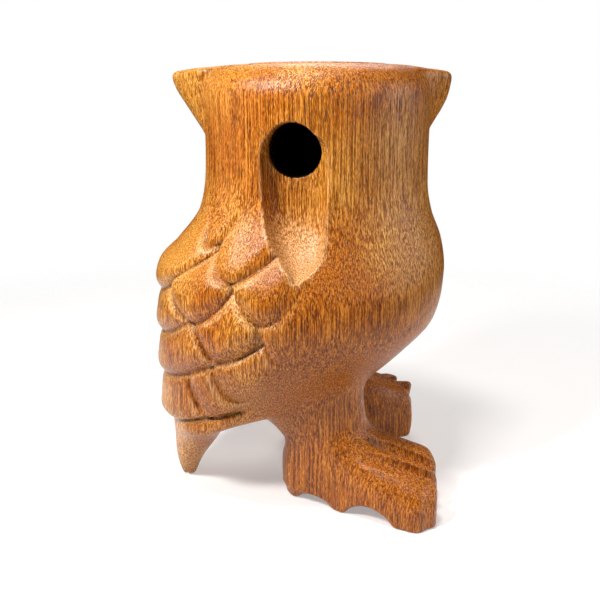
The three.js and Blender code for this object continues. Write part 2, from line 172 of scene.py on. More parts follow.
def torso_section(ahead, left, height):
    """A point's place in the ellipse of its height: as shares of the half axes, how far round in degrees
    from the middle of the back, and how fast the share grows outwards."""
    back, front, half_width = back_of(height), front_of(height), half_width_of(height)
    reach = (front - back) / 2
    across = (ahead - (front + back) / 2) / reach
    aside = left / half_width
    share = np.hypot(across, aside)
    growth = np.hypot(across / reach, aside / half_width) / np.maximum(share, 0.02)
    return share, growth, np.degrees(np.arctan2(np.abs(aside), -across)), (reach + half_width) / 2


def smooth_torso(ahead, left, height):
    """Depth under the body's smooth skin: the share of the ellipse, less one, over its own steepness."""
    share, growth, _, _ = torso_section(ahead, left, height)
    step = 0.25
    above = torso_section(ahead, left, height + step)[0]
    below = torso_section(ahead, left, height - step)[0]
    return (share - 1) / np.hypot(growth, (above - below) / (2 * step))


# Feathers: each is cut with a gouge pushed in along its edge, and the one below is pared down to that edge.
# A row gives degrees round from the middle of the back, its tip's height, its half width in degrees and
# how much higher its edge lies at that half width. Both sides of the body have the same feathers.
FEATHERS = (
    (0, 15.8, 45, 2.6),
    (57, 20.2, 13, 3),
    (67, 25, 17, 6),
    (0, 26, 48, 6.4),
    (52, 33.8, 14.5, 5.8),
    (77.5, 34.5, 11, 5.75),
    (0, 35.4, 32, 5.2),
    (36, 41, 17, 6.5),
    (67, 42.5, 11.5, 5.5),
    (0, 44.5, 38, 10.5),
    (53, 50, 13, 5),
    (34, 55.6, 9, 5),
)
FEATHER_LENGTH = 16
FEATHER_RELIEF = (2.3, 2.2)  # on the back and on the sides
FEATHER_ROLL = (3.5, 6)  # how far in from its edge a feather rolls over
SIDEWAYS = (8, 45)  # degrees over which the back's relief and roll turn into the sides'
FEATHER_ENDS = (1.5, 1.9)  # half widths off its middle over which a feather runs out
BEVEL_WIDTH = 2.2
BEVEL_DEPTH = 0.7
BEVEL_HOLLOW = 1.5  # 1 would be a straight bevel, more is hollow
HIGHLIGHT_LINE = 0.8  # how far outside an edge the painted highlight line lies
HIGHLIGHT_LINE_HALF_WIDTH = 0.4
HIGHLIGHT_LINE_ENDS = (1, 1.5)
EDGE_SOFTNESS = 0.22
WING_FRONT = (66, 84)  # degrees over which the feathers fade into the smooth belly
SHOULDER = (54, 69)  # heights over which they fade into the smooth neck


def feather_relief(degrees, height, radius):
    """How far the feathers stand out, and how much painted highlight each point takes: a pale line just
    outside each edge, where the lit bevel catches the light. From the lowest feather to the highest, each
    lays its own height
    over what lies inside its edge: part a parabola and part a quarter round from the edge up, then a fall to
    nothing at its root. Outside the edge the surface dips in a narrow bevel, cut last."""
    sideways = smooth_step(*SIDEWAYS, degrees)
    relief_here = FEATHER_RELIEF[0] + (FEATHER_RELIEF[1] - FEATHER_RELIEF[0]) * sideways
    roll_here = FEATHER_ROLL[0] + (FEATHER_ROLL[1] - FEATHER_ROLL[0]) * sideways
    relief = np.zeros_like(height)
    painted_highlight = np.zeros_like(height)
    for angle, tip, half_width, edge_rise in FEATHERS:
        round_way = (degrees - angle) / half_width
        edge = tip + edge_rise * round_way**2
        steepness = 2 * edge_rise * np.abs(round_way) / (np.radians(half_width) * radius)
        inside = (height - edge) / np.sqrt(1 + steepness**2)
        reach = 1 - smooth_step(*FEATHER_ENDS, np.abs(round_way))
        short = (1 - np.clip(inside / roll_here, 0, 1)) ** 2
        rolled = 0.65 * (1 - short) + 0.35 * np.sqrt(1 - short)
        own = relief_here * rolled * (1 - np.clip(inside / FEATHER_LENGTH, 0, 1))
        bevelled = relief - BEVEL_DEPTH * reach * np.clip(1 + inside / BEVEL_WIDTH, 0, 1) ** BEVEL_HOLLOW
        covered = smooth_step(-EDGE_SOFTNESS, EDGE_SOFTNESS, inside) * reach
        relief = bevelled + (own - bevelled) * covered
        # A pale line painted just outside the edge, as the highlight on the lit bevel.
        line = np.exp(-(((inside + HIGHLIGHT_LINE) / HIGHLIGHT_LINE_HALF_WIDTH) ** 2))
        line = line * (1 - smooth_step(*HIGHLIGHT_LINE_ENDS, np.abs(round_way)))
        painted_highlight = np.maximum(painted_highlight, line) * (1 - covered)
    there = (1 - smooth_step(*WING_FRONT, degrees)) * (1 - smooth_step(*SHOULDER, height))
    return relief * there, painted_highlight * there


# Ears: a flat-topped wedge to each side, flush with the top of the head.
EAR_REACH = 30.1
EAR_TURN = math.radians(5.5)
EAR_SHIFT = -1.9
EAR_TOWARDS_FACE = 3
EAR_DROPS = (10.8, 14.4)  # how far the left and the right ear's root comes down the head
EAR_TIP_HEIGHTS = (2.8, 5.8)
EAR_ROOT_THICKNESS = 17
EAR_TIP_THICKNESS = 3.4
EAR_ROUNDING = 1.6
EAR_LEAN = 0.25  # how much each ear's sides draw in towards its underside
EAR_FILLET = 1
EAR_TOP_FALL = 1.6  # how much lower the ears' tips lie than the middle of the head


def ears(x, y, height):
    """Depth under both ears: the space below the top, above a slope from tip to root, and between two
    sides that draw together towards the tip and towards the underside."""
    along, across = turned(x, y, EAR_TURN)
    side = np.sign(along)
    out = side * (along - EAR_SHIFT)
    root = np.clip((EAR_REACH - out) / (EAR_REACH - HEAD_RADIUS), -0.5, 1.25)
    thickness = EAR_TIP_THICKNESS + (EAR_ROOT_THICKNESS - EAR_TIP_THICKNESS) * root
    tip_height = np.where(side < 0, *EAR_TIP_HEIGHTS)
    growth = np.where(side < 0, *EAR_DROPS) - tip_height
    slope = growth / (EAR_REACH - HEAD_RADIUS)
    flare = (EAR_ROOT_THICKNESS - EAR_TIP_THICKNESS) / 2 / (EAR_REACH - HEAD_RADIUS)
    under = (TOP - tip_height - growth * root - EAR_TOP_FALL - height) / np.hypot(1, slope)
    lean = EAR_LEAN * np.clip(TOP - height, 0, 20)
    sides = (np.abs(across - EAR_TOWARDS_FACE) - thickness / 2 + lean) / math.hypot(1, flare, EAR_LEAN)
    wedge = smooth_cut(under, sides, 2 * EAR_ROUNDING)
    wedge = smooth_cut(wedge, out - EAR_REACH, EAR_ROUNDING)
    return smooth_cut(wedge, height - TOP + EAR_TOP_FALL * (out / EAR_REACH) ** 2, EAR_ROUNDING)


# Legs and feet: side is +1 on the face's side and -1 on the blow hole's side.
ANKLE_FORWARD = 2.5
ANKLE_ASIDE = 13.8
FAR_FOOT_FORWARD = 2.5
FOOT_SPLAY = math.radians(23)
LEG_HALF_LENGTH = 10.2
LEG_HALF_WIDTH = 6.6
LEG_TOP = 31
LEG_BOTTOM = 4
TOE_REACH = 23.6
TOE_BULGE = 0.9
TOE_SKEW = 0.12  # how much further the toes reach on the blow hole's side
TOE_FRONT_CURVE = 0.008  # how much the toes' front falls back, by the square of the way off its middle
HEEL_REACH = 8.8
FAR_HEEL_SHORTER = 1.2
HEEL_HALF_WIDTH = 4
TOES_HALF_WIDTH = 10.6
TOES_ASIDE = -1.7  # both feet's toes bend to the blow hole's side
TOE_TILT = 0.13  # of the near foot; the far foot's toes are level
INSTEP = 16
TOE_HEIGHT = 10.3
FAR_TOE_HEIGHT = 12.8
FAR_TOE_OVERHANG = 5.6
TOE_GROOVE_RADIUS = 1.45
TOE_GROOVE_START = 9
TOE_GROOVE_END = TOE_REACH + 3
TOE_GROOVE_RISE = (5, -3.1)  # its middle line's start and end, over the toes' top
TOE_NOTCH_FORWARD = (1.9, 1.5)  # its middle line's foot and head, past the toes' reach
TOE_NOTCH_HEAD = 4
TOE_GROOVE_EDGE = 1.2
NEAR_TOE_GROOVES = ((-2.6, 0.6), (-7.9, -3.6))  # how far aside each groove starts and ends
FAR_TOE_GROOVES = ((0, -8.3), (3.5, -2.9))
ARCHES = ((-1.1, 1.9, 4.9), (11.2, 3, 6))  # each one's place along the foot, its rise and its radius
ARCH_EDGE = 1.1
FOOT_FRONT_ROUNDING = 2.2
HEEL_ROUNDING = 3
ANKLE_FILLET = 4.5
HIP_FILLET = 2.6
SOLE_EDGE = 0.7


def foot_top(toes_top):
    """The foot's top in side view, from the heel over the instep to toes of the given height."""
    return smooth_curve(
        (-HEEL_REACH, INSTEP * 0.62),
        (-HEEL_REACH * 0.4, INSTEP),
        (5, INSTEP),
        (TOE_REACH * 0.5, toes_top + 3.6),
        (TOE_REACH * 0.8, toes_top + 1.1),
        (TOE_REACH, toes_top - 0.9),
    )


foot_bend = smooth_curve((2, 0), (TOE_REACH * 0.6, TOES_ASIDE))
foot_half_width = smooth_curve(
    (-HEEL_REACH, HEEL_HALF_WIDTH * 0.5),
    (-HEEL_REACH * 0.7, HEEL_HALF_WIDTH),
    (TOE_REACH * 0.27, (HEEL_HALF_WIDTH + TOES_HALF_WIDTH) / 2 + 0.8),
    (TOE_REACH * 0.75, TOES_HALF_WIDTH - 0.5),
    (TOE_REACH - 2, TOES_HALF_WIDTH),
    (TOE_REACH, TOES_HALF_WIDTH - 2),
)
leg_spread = smooth_curve(
    (4, 0.84), (10, 0.86), (13, 0.9), (17, 1.04), (20, 1.14), (24, 1.2), (LEG_TOP, 1.25)
)
leg_shift = smooth_curve((8, 1), (13, 0.6), (17, -1.8), (23, -4), (LEG_TOP, -5))


def rounded_bar(along, aside, height, start, end, radius):
    """Depth under a round-ended bar: the distance to the line between its ends, less its radius."""
    start, end = np.array(start, float), np.array(end, float)
    run = end - start
    off = (along - start[0], aside - start[1], height - start[2])
    way = np.clip((off[0] * run[0] + off[1] * run[1] + off[2] * run[2]) / (run @ run), 0, 1)
    gap = [off[a] - way * run[a] for a in range(3)]
    return np.sqrt(gap[0] ** 2 + gap[1] ** 2 + gap[2] ** 2) - radius


def leg_and_foot(ahead, left, height, side):
    """Depth under one leg with its foot. The foot is a squared oval: the fourth power of its share of the
    width and the power 3.64 of its share of the height add up to one. Its toes are parted by grooves on
    top and notches in front. It is blended into an oval column, less the scalloped arches below."""
    far = side > 0
    toes_top = FAR_TOE_HEIGHT if far else TOE_HEIGHT
    overhang = FAR_TOE_OVERHANG if far else 0
    forward = ANKLE_FORWARD + (FAR_FOOT_FORWARD if far else 0)
    along, aside = turned(ahead - forward, left - side * ANKLE_ASIDE, side * FOOT_SPLAY)

    half_width = foot_half_width(along)
    across = aside - foot_bend(along)
    tilt = 0 if far else TOE_TILT
    top = foot_top(toes_top)(along) + tilt * np.clip(across, -half_width, half_width)
    wide = np.abs(across) / half_width
    high = np.maximum(height, 0) / top
    total = np.maximum(wide**4 + high**3.64, 1e-6)
    growth = total**-0.75 * np.hypot(wide**3 / half_width, 0.91 * high**2.64 / top)
    foot = (total**0.25 - 1) / np.maximum(growth, 0.02)
    reach = TOE_REACH + TOE_BULGE - TOE_SKEW * across - TOE_FRONT_CURVE * across**2
    reach = reach + overhang * (np.minimum(high, 1) - 0.5)
    foot = smooth_cut(foot, along - reach, FOOT_FRONT_ROUNDING)
    foot = smooth_cut(foot, (FAR_HEEL_SHORTER if far else 0) - HEEL_REACH - along, HEEL_ROUNDING)

    for start, end in FAR_TOE_GROOVES if far else NEAR_TOE_GROOVES:
        back_end = (TOE_GROOVE_START, start, toes_top + TOE_GROOVE_RISE[0] + tilt * start)
        front_end = (TOE_GROOVE_END, end, toes_top + TOE_GROOVE_RISE[1] + tilt * end)
        groove = rounded_bar(along, aside, height, back_end, front_end, TOE_GROOVE_RADIUS)
        low_end = (TOE_REACH + TOE_NOTCH_FORWARD[0] - overhang / 2, end, -1)
        high_end = (TOE_REACH + TOE_NOTCH_FORWARD[1] + overhang / 2, end, toes_top + TOE_NOTCH_HEAD)
        notch = rounded_bar(along, aside, height, low_end, high_end, TOE_GROOVE_RADIUS)
        foot = smooth_cut(foot, -smooth_join(groove, notch, 1), TOE_GROOVE_EDGE)

    spread = leg_spread(height)
    length, width = LEG_HALF_LENGTH * spread, LEG_HALF_WIDTH * spread
    across = (along - leg_shift(height)) / length
    beside = aside / width
    share = np.maximum(np.hypot(across, beside), 0.02)
    leg = (share - 1) * share / np.hypot(across / length, beside / width)
    leg = np.maximum(leg, height - LEG_TOP)
    leg = np.maximum(leg, LEG_BOTTOM - height)
    shape = smooth_join(foot, leg, ANKLE_FILLET)
    for place, rise, radius in ARCHES:
        arch = np.hypot(along - place, height - rise + radius) - radius
        shape = smooth_cut(shape, -arch, ARCH_EDGE)
    return shape


# Holes: the blow hole is drilled into the sound chamber, and the lip's scoop is cut below it with a gouge.
CHAMBER_RADIUS = 13
CHAMBER_FLOOR = 34
CHAMBER_FLOOR_ROUNDING = 4
PLUG_SHOULDER = 1.6
PLUG_THICKNESS = 7
BLOW_HOLE_RADIUS = 5.2
BLOW_HOLE_SHIFT = -0.8  # off the head's middle, as drilled
BLOW_HOLE_STOP = CHAMBER_RADIUS * 0.6  # how far from the head's middle the drill stops
BLOW_HOLE_DROP = 16.4
BLOW_HOLE = TOP - BLOW_HOLE_DROP
SCOOP_BOTTOM = 50.6
SCOOP_DEPTH = 5.3
SCOOP_HALF_WIDTH = 6.4
SCOOP_ABOVE_HOLE = 4.6
SCOOP_FULLNESS = 2.4  # 2 would be an ellipse, more is squarer
SCOOP_EDGE_WEAR = 0.35
EDGE_WEAR = 0.5

# Shares of the scoop's width and depth, and its shift aside, by the share of the way up to the hole
scoop_width = smooth_curve(
    (-0.05, 0.02),
    (0, 0.06),
    (0.07, 0.3),
    (0.17, 0.6),
    (0.29, 0.77),
    (0.41, 0.88),
    (0.61, 0.97),
    (0.85, 1),
    (1, 0.98),
    (1.1, 0.8),
    (1.16, 0.3),
    (1.2, 0.02),
)
scoop_depth = smooth_curve(
    (0, 0.05),
    (0.07, 0.42),
    (0.17, 0.72),
    (0.3, 0.96),
    (0.42, 1.04),
    (0.61, 1),
    (0.85, 0.82),
    (1, 0.7),
    (1.16, 0.12),
    (1.2, 0.05),
)
scoop_shift = smooth_curve(
    (0, 1), (0.07, 1.5), (0.17, 1.4), (0.29, 0.7), (0.41, 0.2), (0.61, -0.3), (1, -0.5)
)


def scoop(x, depth, height):
    """Depth inside the lip's scoop: at each height half a full oval, as wide and as deep as the curves say.
    On its edge the shares of its half width and of its depth, to the power of the fullness, add up to 1."""
    rise = (height - SCOOP_BOTTOM) / (BLOW_HOLE - SCOOP_BOTTOM)
    half_width = np.maximum(SCOOP_HALF_WIDTH * scoop_width(rise), 0.15)
    deep = np.maximum(SCOOP_DEPTH * scoop_depth(rise), 0.15)
    across = np.abs(x - scoop_shift(rise)) / half_width
    down = np.maximum(-depth, 0) / deep
    share = np.maximum((across**SCOOP_FULLNESS + down**SCOOP_FULLNESS) ** (1 / SCOOP_FULLNESS), 0.02)
    rate = SCOOP_FULLNESS - 1
    growth = np.hypot(across**rate / half_width, down**rate / deep) / share**rate
    oval = (share - 1) / np.maximum(growth, 0.05)
    return np.maximum(oval, np.maximum(SCOOP_BOTTOM - height, height - BLOW_HOLE - SCOOP_ABOVE_HOLE))


# Face: a raised ring round each eye's socket, and a beak between them.
EYE_DROP = 18
EYE_HEIGHT = TOP - EYE_DROP
EYE_SPREAD = math.radians(27)
EYE_RADIUS = 7.4
EYE_THICKNESS = 4
EYE_RIM_HALF_WIDTH = 1.8
EYE_RIM_SUNK = 0.8  # how far the ring's middle lies under the head's skin
EYE_RIM_FILLET = 1
EYE_GAP = 0.3
EYE_SOCKET_EDGE = 0.5
BEAK_DROP = 20
BEAK_TOP = TOP - BEAK_DROP
BEAK_LENGTH = 12
BEAK_HALF_WIDTH = 3.8
BEAK_REACH = 4.6
BEAK_ROOT = 2  # how far under the head's skin the beak begins
BEAK_FILLET = 1.2
ELSEWHERE = 9  # stands for a depth well outside, for a shape that belongs to one side of the head only


def eye_axes(x, y, height, side):
    """A point as seen along an eye's own axis: how far off the axis, and how far out of the head."""
    out = x * side * math.sin(EYE_SPREAD) + y * math.cos(EYE_SPREAD)
    aside = x * side * math.cos(EYE_SPREAD) - y * math.sin(EYE_SPREAD)
    return np.hypot(aside, height - EYE_HEIGHT), out - HEAD_RADIUS


def beak(x, y, height):
    """Depth under the beak: an upright half oval that swells from its top and narrows like a root to its
    tip."""
    drop = np.clip((BEAK_TOP - height) / BEAK_LENGTH, -0.3, 1.3)
    half_width = BEAK_HALF_WIDTH * np.sqrt(np.clip(1 - drop, 0.01, 1)) * smooth_step(-0.35, 0.25, drop)
    half_width = np.maximum(half_width, 0.3)
    reach = BEAK_REACH * np.sin(np.pi * np.clip(0.1 + 0.62 * drop, 0, 1))
    out = (y - HEAD_RADIUS + BEAK_ROOT) / np.maximum(reach + BEAK_ROOT, 0.5)
    oval = (np.hypot(x / half_width, out) - 1) * half_width
    oval = np.maximum(oval, np.maximum(drop - 1, -drop - 0.2) * BEAK_LENGTH)
    return np.where(y > 10, oval, ELSEWHERE)


def owl_field(points):
    """Depth of each point in the finished carving, in millimetres: below nothing inside, above it outside."""
    height = points[:, 2]
    head_x, head_y = (points[:, :2] - HEAD_AXIS).T
    ahead, left = turned(*(points[:, :2] - BODY_AXIS).T, BODY_TURN)

    smooth = smooth_torso(ahead, left, height)
    _, _, degrees, radius = torso_section(ahead, left, height)
    carved = smooth - feather_relief(degrees, height, radius)[0]
    domed = height - TOP + TOP_DOME * (np.hypot(head_x, head_y) / HEAD_RADIUS) ** 2
    carved = smooth_cut(carved, domed, RIM_ROUNDING)
    shape = smooth_join(carved, ears(head_x, head_y, height), EAR_FILLET)
    shape = smooth_cut(shape, domed, TOP_EDGE_WEAR)
    for side in (-1, 1):
        shape = smooth_join(shape, leg_and_foot(ahead, left, height, side), HIP_FILLET)

    for side in (-1, 1):
        off_axis, out = eye_axes(head_x, head_y, height, side)
        off_ring = np.hypot(off_axis - EYE_RADIUS - EYE_RIM_HALF_WIDTH, out + EYE_RIM_SUNK)
        shape = smooth_join(shape, off_ring - EYE_RIM_HALF_WIDTH, EYE_RIM_FILLET)
    shape = smooth_join(shape, beak(head_x, head_y, height), BEAK_FILLET)
    shape = smooth_cut(shape, -height, SOLE_EDGE)

    lip_scoop = np.where(head_y < 0, scoop(head_x, smooth, height), ELSEWHERE)
    shape = smooth_cut(shape, -lip_scoop, SCOOP_EDGE_WEAR)
    bore = np.hypot(head_x - BLOW_HOLE_SHIFT, height - BLOW_HOLE) - BLOW_HOLE_RADIUS
    shape = smooth_cut(shape, -np.maximum(bore, head_y + BLOW_HOLE_STOP), EDGE_WEAR)
    off_centre = np.hypot(head_x, head_y)
    chamber = smooth_cut(off_centre - CHAMBER_RADIUS, CHAMBER_FLOOR - height, CHAMBER_FLOOR_ROUNDING)
    seat = np.maximum(off_centre - CHAMBER_RADIUS - PLUG_SHOULDER, TOP - PLUG_THICKNESS - height)
    shape = np.maximum(shape, -np.minimum(chamber, seat))
    for side in (-1, 1):
        off_axis, out = eye_axes(head_x, head_y, height, side)
        socket = np.maximum(off_axis - EYE_RADIUS - EYE_GAP, -out - EYE_THICKNESS - EYE_GAP)
        shape = smooth_cut(shape, -socket, EYE_SOCKET_EDGE)
    return shape


def slope_of(field, points, step=0.05):
    """The field's value and gradient at each point, from four points at the corners of a tetrahedron."""
    corners = np.array([(1, -1, -1), (-1, -1, 1), (-1, 1, -1), (1, 1, 1)], float)
    values = np.stack([field(points + step * corner) for corner in corners])
    return values.mean(0), (values.T @ corners) / (4 * step)


def onto_surface(field, points, rounds, longest):
    """Points moved along the gradient to where the field is nothing, by at most the longest step a round."""
    for _ in range(rounds):
        value, slope = slope_of(field, points)
        move = -value[:, None] * slope / np.maximum((slope**2).sum(1), 0.05)[:, None]
        length = np.linalg.norm(move, axis=1, keepdims=True)
        points = points + move * np.minimum(1, longest / np.maximum(length, 1e-9))
    return points


def carved_skin(field, low, high, cell):
    """Points and quads of a field's surface: each cell of a grid that the surface crosses gets one point,
    the mean of where it crosses the cell's edges, and each crossed edge joins its four cells."""
    axes = [np.arange(low[a] - 1.7 * cell, high[a] + 2.7 * cell, cell) for a in range(3)]
    grid = np.stack(np.meshgrid(*axes, indexing="ij"), -1)
    value = field(grid.reshape(-1, 3)).reshape(grid.shape[:3])
    cells = np.array(value.shape) - 1
    total = np.zeros((*cells, 3))
    count = np.zeros(cells, int)
    crossings = []
    for axis in range(3):
        first = [slice(None)] * 3
        second = [slice(None)] * 3
        first[axis] = slice(None, -1)
        second[axis] = slice(1, None)
        start, end = value[tuple(first)], value[tuple(second)]
        crossed = (start < 0) != (end < 0)
        crossings.append((crossed, start < 0))
        place = grid[tuple(first)].copy()
        place[..., axis] += cell * np.where(crossed, start / np.where(crossed, start - end, 1), 0)
        place *= crossed[..., None]
        others = [a for a in range(3) if a != axis]
        for shift in ((0, 0), (0, 1), (1, 0), (1, 1)):
            part = [slice(None)] * 3
            for other, by in zip(others, shift):
                part[other] = slice(by, by + cells[other])
            total += place[tuple(part)]
            count += crossed[tuple(part)]
    number = np.full(cells, -1)
    used = count > 0
    number[used] = np.arange(used.sum())
    points = total[used] / count[used][:, None]
    quads = []
    for axis, (crossed, rising) in enumerate(crossings):
        one, two = (axis + 1) % 3, (axis + 2) % 3
        at = np.argwhere(crossed)
        ring = []
        for by_one, by_two in ((1, 1), (0, 1), (0, 0), (1, 0)):
            cell_at = at.copy()
            cell_at[:, one] -= by_one
            cell_at[:, two] -= by_two
            ring.append(number[tuple(cell_at.T)])
        quad = np.stack(ring, 1)
        outward = rising[tuple(at.T)]
        quad[~outward] = quad[~outward][:, ::-1]
        quads.append(quad)
    return points, np.concatenate(quads)


def halves(points, quads):
    """Each quad as two triangles, split along its shorter diagonal."""
    corner = points[quads]
    first = np.linalg.norm(corner[:, 0] - corner[:, 2], axis=1)
    second = np.linalg.norm(corner[:, 1] - corner[:, 3], axis=1)
    quads = np.where((first > second)[:, None], np.roll(quads, -1, axis=1), quads)
    return np.concatenate([quads[:, [0, 1, 2]], quads[:, [0, 2, 3]]])


def refined(field, points, triangles, turn, shortest):
    """Every edge that is longer than the shortest, and whose ends face apart by more than the turn, is
    halved at a new point on the surface, and the triangles beside it are split to match."""
    _, slope = slope_of(field, points)
    facing = slope / np.linalg.norm(slope, axis=1, keepdims=True)
    pairs = np.stack([triangles, np.roll(triangles, -1, axis=1)], -1).reshape(-1, 2)
    pairs.sort(axis=1)
    keys, which = np.unique(pairs[:, 0] * len(points) + pairs[:, 1], return_inverse=True)
    ends = np.stack([keys // len(points), keys % len(points)], 1)
    length = np.linalg.norm(points[ends[:, 0]] - points[ends[:, 1]], axis=1)
    cosine = (facing[ends[:, 0]] * facing[ends[:, 1]]).sum(1)
    halved = (length > shortest) & (cosine < math.cos(turn))
    middles = onto_surface(field, points[ends[halved]].mean(1), 3, shortest / 2)
    number = np.full(len(keys), -1)
    number[halved] = len(points) + np.arange(halved.sum())
    middle = number[which.reshape(-1, 3)]
    marks = (middle >= 0).sum(1)

    split = [triangles[marks == 0]]
    for marked in (1, 2, 3):
        chosen = marks == marked
        corner, mid = triangles[chosen], middle[chosen]
        if marked < 3:
            turn_by = np.argmax(mid >= 0, axis=1) if marked == 1 else (np.argmax(mid < 0, axis=1) + 1) % 3
            order = (turn_by[:, None] + np.arange(3)) % 3
            corner = np.take_along_axis(corner, order, 1)
            mid = np.take_along_axis(mid, order, 1)
        (a, b, c), (ab, bc, ca) = corner.T, mid.T
        pieces = {
            1: ((a, ab, c), (ab, b, c)),
            2: ((ab, b, bc), (a, ab, bc), (a, bc, c)),
            3: ((a, ab, ca), (ab, b, bc), (bc, c, ca), (ab, bc, ca)),
        }[marked]
        split += [np.stack(piece, 1) for piece in pieces]
    return np.concatenate([points, middles]), np.concatenate(split)


def mesh_piece(name, points, faces, material):
    """A smooth-shaded object at the origin, from points in millimetres and faces of one size."""
    mesh = bpy.data.meshes.new(name)
    corners = faces.shape[1]
    mesh.vertices.add(len(points))
    mesh.vertices.foreach_set("co", (points * MM).astype(np.float32).ravel())
    mesh.loops.add(faces.size)
    mesh.loops.foreach_set("vertex_index", faces.astype(np.int32).ravel())
    mesh.polygons.add(len(faces))
    mesh.polygons.foreach_set("loop_start", np.arange(0, faces.size, corners, dtype=np.int32))
    mesh.polygons.foreach_set("use_smooth", np.ones(len(faces), bool))
    mesh.update(calc_edges=True)
    mesh.validate()
    mesh.materials.append(material)
    piece = bpy.data.objects.new(name, mesh)
    bpy.context.collection.objects.link(piece)
    return piece


def linear(hex_colour):
    """An sRGB hex colour as linear red, green, blue and a full alpha."""
    parts = [int(hex_colour[i : i + 2], 16) / 255 for i in (1, 3, 5)]
    return (*(c / 12.92 if c <= 0.04045 else ((c + 0.055) / 1.055) ** 2.4 for c in parts), 1)


def add_node(material, kind, inputs, **settings):
    """One shader node: its settings, then each input linked if it is given a socket, or else set."""
    tree = material.node_tree
    node = tree.nodes.new("ShaderNode" + kind)
    for name, value in settings.items():
        setattr(node, name, value)
    for name, value in inputs.items():
        if isinstance(value, bpy.types.NodeSocket):
            tree.links.new(value, node.inputs[name])
        else:
            node.inputs[name].default_value = value
    return node


def ramp(material, factor, *stops):
    """A colour ramp through (position, hex colour) stops."""
    node = add_node(material, "ValToRGB", {"Fac": factor})
    elements = node.color_ramp.elements
    while len(elements) < len(stops):
        elements.new(0.5)
    for element, (position, colour) in zip(elements, stops):
        element.position = position
        element.color = linear(colour)
    return node.outputs["Color"]


